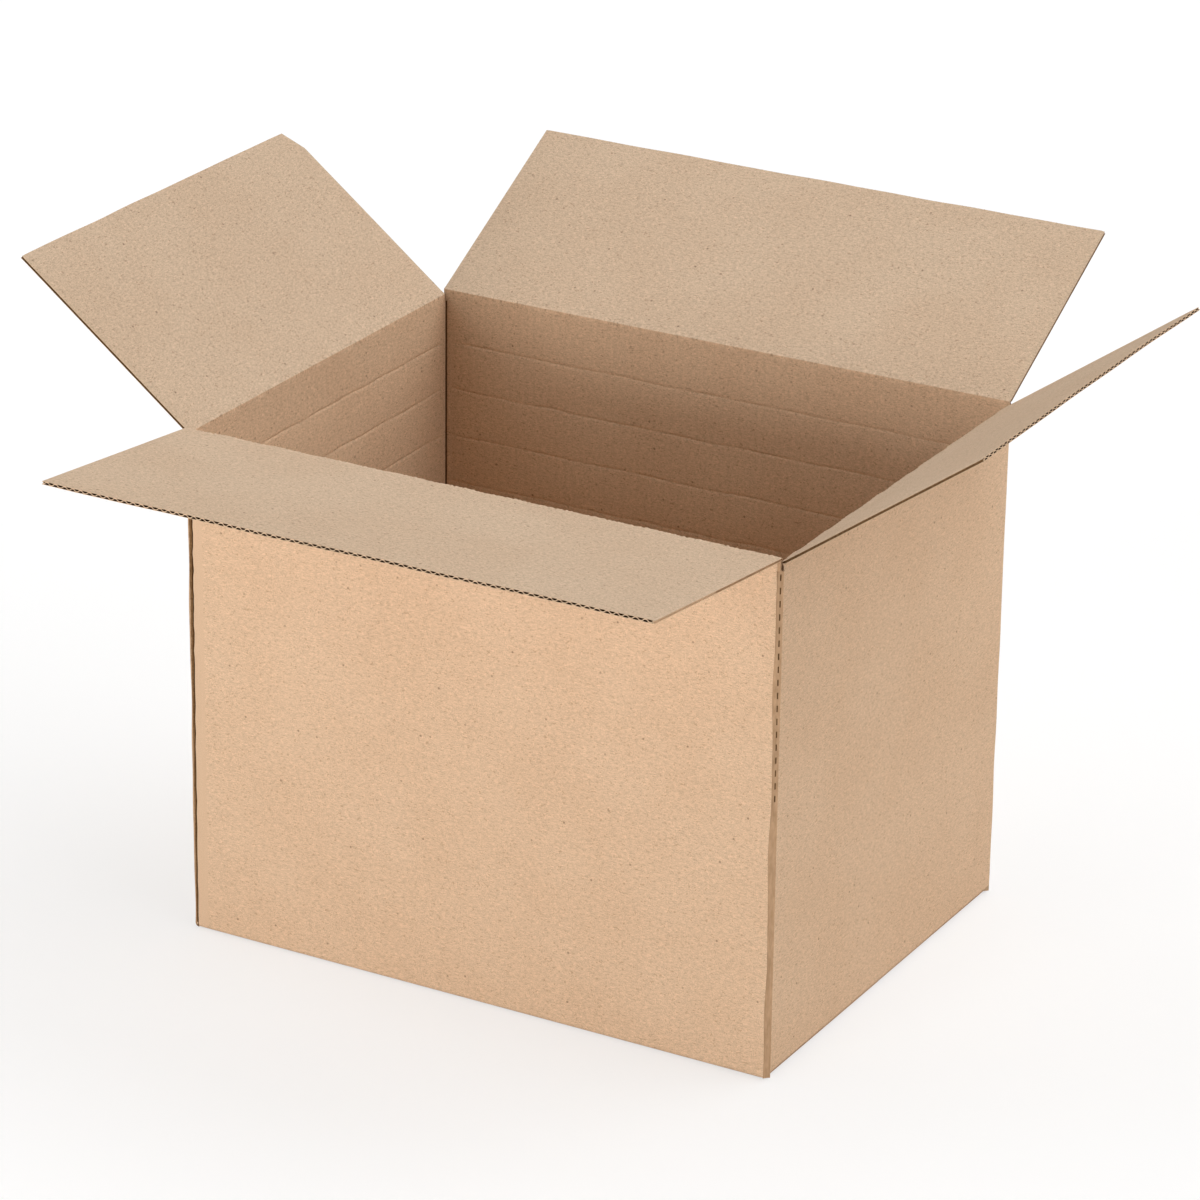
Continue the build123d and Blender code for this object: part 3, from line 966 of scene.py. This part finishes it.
    for k, (name, out, along, half, depth, low) in enumerate(sides):
        out3, along3 = np.array((*out, 0.0)), np.array((*along, 0.0))
        seed = WALL_SEEDS[k]
        (before_out, before_in), (after_out, after_in) = corners[k - 1], corners[k]
        faces = (
            (False, half - CORNER_FLAT, OUTER_COLUMN_STEP, OUTER, rows_out, before_out, after_out),
            (True, half - BOARD - RIDGE_FOOT, INNER_COLUMN_STEP, WALL_INNER, rows_in, before_in, after_in),
        )
        for within, reach, spacing, kind, side_rows, before, after in faces:
            first, last = before[:, -1], after[:, 0]
            rows = np.array(wall_rows(low, within))
            a = np.linspace(-reach, reach, int(round(2 * reach / spacing)) + 1)
            Z, A = np.meshgrid(rows, a, indexing="ij")
            calm = ease((reach - np.abs(A)) / PANEL_CALM) * ease((SLOT_BOTTOM - Z) / PANEL_CALM)
            calm = calm * ease((Z - low) / PANEL_CALM)
            uneven = waves(A, seed, PANEL_LONG_WAVES)
            uneven = (uneven + waves(Z + PANEL_SLANT * A, seed + 1, PANEL_CROSS_WAVES)) * calm
            if within:
                hold = ease((reach - np.abs(A)) / RIB_CALM)
                tip = 0.5 + 0.5 * np.cos(2 * np.pi * A / PITCH + waves(A, seed + 3, RIB_PHASE_WAVES))
                rib = RIB * tip * hold * ease((SLOT_BOTTOM - Z) / RIB_TOP_CALM)
                score = score_depth(Z, A, SCORE_SEEDS[k]) * hold
                off = depth - BOARD + uneven + rib + score - panel_bulge(Z) * calm
            else:
                off = depth + uneven + waves(A + OUTER_SLANT * Z, seed + 2, OUTER_WAVES) * calm
            points = out3 * off[..., None] + along3 * A[..., None]
            points[..., 2] = Z
            sheet_depth = -INNER_DEPTH if within else OUTER_DEPTH
            blank = np.stack([SHEET_MIDDLE[name] + A, Z, np.full_like(A, sheet_depth)], -1)
            index = maker.spots(points, blank)
            maker.cells(index[:, 1:-1], kind, flip=within)
            # The first and last columns take every row of the corner beside them
            for r in range(len(rows) - 1):
                over, under = side_rows >= rows[r] - ROW_MATCH, side_rows <= rows[r + 1] + ROW_MATCH
                beside = np.flatnonzero(over & under)
                maker.polygon([index[r, 1], index[r + 1, 1]] + list(first[beside[::-1]]), kind, flip=within)
                maker.polygon([index[r + 1, -2], index[r, -2]] + list(last[beside]), kind, flip=within)
            index = index.copy()
            foot, head = (int(np.argmin(np.abs(side_rows - z))) for z in (rows[0], rows[-1]))
            index[0, 0], index[-1, 0] = first[foot], first[head]
            index[0, -1], index[-1, -1] = last[foot], last[head]
            if not within:
                outer_index, outer_a = index, a
        # Top and bottom edges of the wall
        marks = [int(np.argmin(np.abs(a - x))) for x in outer_a]
        marks[0], marks[-1] = 0, len(a) - 1
        for c in range(len(outer_a) - 1):
            under = list(range(marks[c + 1], marks[c] - 1, -1))
            for row, flip in ((-1, False), (0, True)):
                edge = [outer_index[row, c], outer_index[row, c + 1]] + [index[row, m] for m in under]
                maker.polygon(edge, EDGE, flip=flip)
    body_piece(maker.build("carton_walls", BOARD_MATERIALS))


make_walls()


# Tab of the side joint, turned in from the back wall and glued inside the right wall
TAB_WIDTH = 35.0
TAB_SLANT = 10.0
TAB_BOARD = 1.7
TAB_END_GAP = 12.0
TAB_GLUE = 0.08
TAB_ROOT = 0.05
TAB_PINCH = 0.5
TAB_PINCH_REACH = 1.2
TAB_CALM = 10.0
TAB_COLUMN_STEP = PITCH / 6
TAB_EDGE_COLUMNS = (1.0, 0.5, 0.0)
TAB_EVEN_ROWS = (0.03, 0.97, 40)
TAB_LOW_ROWS = (0.0, 0.002, 0.004)
TAB_HIGH_ROWS = (0.996, 0.998, 1.0)


def make_tab():
    """The tab as a closed mesh, on a thin film of glue."""
    maker = Mesher()
    low, high = 2 * BOARD + TAB_END_GAP, SLOT_BOTTOM - TAB_END_GAP
    base, start = HALF_LENGTH - BOARD + TAB_GLUE, HALF_WIDTH - BOARD + TAB_ROOT
    edge = TAB_WIDTH - np.array(TAB_EDGE_COLUMNS)
    across = np.concatenate([np.arange(0.0, edge[0], TAB_COLUMN_STEP), edge])
    up = np.concatenate([TAB_LOW_ROWS, np.linspace(*TAB_EVEN_ROWS), TAB_HIGH_ROWS])
    S, T = np.meshgrid(up, across, indexing="ij")
    bottom, top = low + TAB_SLANT * T / TAB_WIDTH, high - TAB_SLANT * T / TAB_WIDTH
    Z = bottom + (top - bottom) * S
    gap = np.minimum(np.minimum(Z - bottom, top - Z), TAB_WIDTH - T)
    lift = TAB_BOARD - TAB_PINCH * (1 - ease(gap / TAB_PINCH_REACH))
    lift = lift - RIB * (0.5 + 0.5 * np.cos(2 * np.pi * T / PITCH))
    lift = lift + waves(Z, TAB_SEED, TAB_WAVES) * ease(gap / TAB_CALM)
    blank = np.stack([SHEET_MIDDLE["right"] + HALF_WIDTH - T, Z, np.full_like(Z, -INNER_DEPTH)], -1)
    face = np.stack([base - lift, start - T, Z], -1)
    back = np.stack([np.full_like(Z, base), start - T, Z], -1)
    maker.grid(face, blank, WALL_INNER)
    maker.grid(back, blank, OUTER, flip=True)
    rims = ((np.s_[0, :], False), (np.s_[-1, :], True), (np.s_[:, 0], True), (np.s_[:, -1], False))
    for index, flip in rims:
        maker.grid(np.stack([back[index], face[index]]), np.stack([blank[index]] * 2), EDGE, flip=flip)
    body_piece(maker.build("side_joint_tab", BOARD_MATERIALS))


make_tab()


# Floor, light and camera

scene = bpy.context.scene
scene.view_settings.view_transform = "Standard"


def camera_switch(tree, unseen, seen, output):
    """Shows one shader to the camera and another to all other rays."""
    path_node = tree.nodes.new("ShaderNodeLightPath")
    choose = tree.nodes.new("ShaderNodeMixShader")
    tree.links.new(path_node.outputs["Is Camera Ray"], choose.inputs["Fac"])
    tree.links.new(unseen, choose.inputs[1])
    tree.links.new(seen, choose.inputs[2])
    tree.links.new(choose.outputs["Shader"], output.inputs["Surface"])


FLOOR_HALF = 30.0
FLOOR_LEVEL = -0.0004
FLOOR_UNSEEN = 0.8
FLOOR_GLOW_SHARE = 0.6
WHITE = (1.0, 1.0, 1.0, 1.0)
square = [(sx * FLOOR_HALF, sy * FLOOR_HALF) for sx, sy in ((-1, -1), (1, -1), (1, 1), (-1, 1))]
floor_mesh = bpy.data.meshes.new("floor")
floor_mesh.from_pydata([(x, y, FLOOR_LEVEL) for x, y in square], [], [(0, 1, 2, 3)])
floor = new_object("floor", floor_mesh)
paper = bpy.data.materials.new("floor_white")
paper.use_nodes = True
tree = paper.node_tree
tree.nodes.clear()
seen = tree.nodes.new("ShaderNodeBsdfDiffuse")
seen.inputs["Color"].default_value = WHITE
unseen = tree.nodes.new("ShaderNodeBsdfDiffuse")
unseen.inputs["Color"].default_value = (FLOOR_UNSEEN, FLOOR_UNSEEN, FLOOR_UNSEEN, 1.0)
glow = tree.nodes.new("ShaderNodeEmission")
glow.inputs["Strength"].default_value = 1.0
pale = tree.nodes.new("ShaderNodeMixShader")
pale.inputs["Fac"].default_value = FLOOR_GLOW_SHARE
tree.links.new(seen.outputs["BSDF"], pale.inputs[1])
tree.links.new(glow.outputs["Emission"], pale.inputs[2])
surface = tree.nodes.new("ShaderNodeOutputMaterial")
camera_switch(tree, unseen.outputs["BSDF"], pale.outputs["Shader"], surface)
floor_mesh.materials.append(paper)

SKY_LEVEL = 0.09
SKY_SEEN = 1.0
world = bpy.data.worlds.new("studio")
scene.world = world
world.use_nodes = True
tree = world.node_tree
tree.nodes.clear()
skies = []
for level in (SKY_LEVEL, SKY_SEEN):
    sky = tree.nodes.new("ShaderNodeBackground")
    sky.inputs["Color"].default_value = WHITE
    sky.inputs["Strength"].default_value = level
    skies.append(sky.outputs["Background"])
camera_switch(tree, *skies, tree.nodes.new("ShaderNodeOutputWorld"))

# Broad lamps: level on a surface that faces them, the way of the light, and breadth in degrees
LAMPS = [
    ("right_high", 0.07, (-0.7, 0.1, -0.7), 60.0),
    ("right_mid", 0.265, (-0.88, 0.1, -0.45), 40.0),
    ("front_low", 0.435, (0.25, 0.96, -0.05), 16.0),
    ("front_mid", 0.12, (0.15, 0.93, -0.30), 24.0),
    ("back_right", 0.35, (-0.5, -0.5, -0.7), 60.0),
    ("back_high", 0.33, (0.0, -0.55, -0.8), 70.0),
    ("left_high", 0.275, (0.6, 0.1, -0.75), 50.0),
]
for name, level, way, breadth in LAMPS:
    lamp_data = bpy.data.lights.new(name, "SUN")
    lamp_data.energy = level * math.pi
    lamp_data.angle = math.radians(breadth)
    lamp = new_object(name, lamp_data)
    lamp.rotation_euler = Vector(way).to_track_quat("-Z", "Y").to_euler()

# A panel low on the left, which lights the front wall below its flap
LIGHT_PLACE = Vector((-0.55, -1.25, 0.18))
LIGHT_AIM = Vector((0.0, -0.15, 0.17))
LIGHT_SIZE = (0.9, 0.3)
LIGHT_WATTS = 3.4
panel_data = bpy.data.lights.new("front_panel", "AREA")
panel_data.shape = "RECTANGLE"
panel_data.size, panel_data.size_y = LIGHT_SIZE
panel_data.energy = LIGHT_WATTS
panel = new_object("front_panel", panel_data)
panel.location = LIGHT_PLACE
panel.rotation_euler = (LIGHT_AIM - LIGHT_PLACE).to_track_quat("-Z", "Z").to_euler()
panel.visible_camera = False

CAMERA_PLACE = (1.44567, -2.58615, 1.42962)
CAMERA_RIGHT = Vector((0.870378, 0.492232, 0.012241))
CAMERA_FORWARD = Vector((-0.450977, 0.806915, -0.381456))
PICTURE = 1200
FOCAL_PIXELS = 5284.62
SENSOR = 36.0
CLIP_START = 0.05
CLIP_END = 200.0
camera_data = bpy.data.cameras.new("camera")
camera_data.sensor_fit = "HORIZONTAL"
camera_data.sensor_width = SENSOR
camera_data.lens = SENSOR * FOCAL_PIXELS / PICTURE
camera_data.clip_start = CLIP_START
camera_data.clip_end = CLIP_END
camera = new_object("camera", camera_data)
back = -CAMERA_FORWARD.normalized()
right = (CAMERA_RIGHT - back * CAMERA_RIGHT.dot(back)).normalized()
over = back.cross(right)
camera.matrix_world = Matrix((
    (right.x, over.x, back.x, CAMERA_PLACE[0]),
    (right.y, over.y, back.y, CAMERA_PLACE[1]),
    (right.z, over.z, back.z, CAMERA_PLACE[2]),
    (0.0, 0.0, 0.0, 1.0),
))
scene.camera = camera
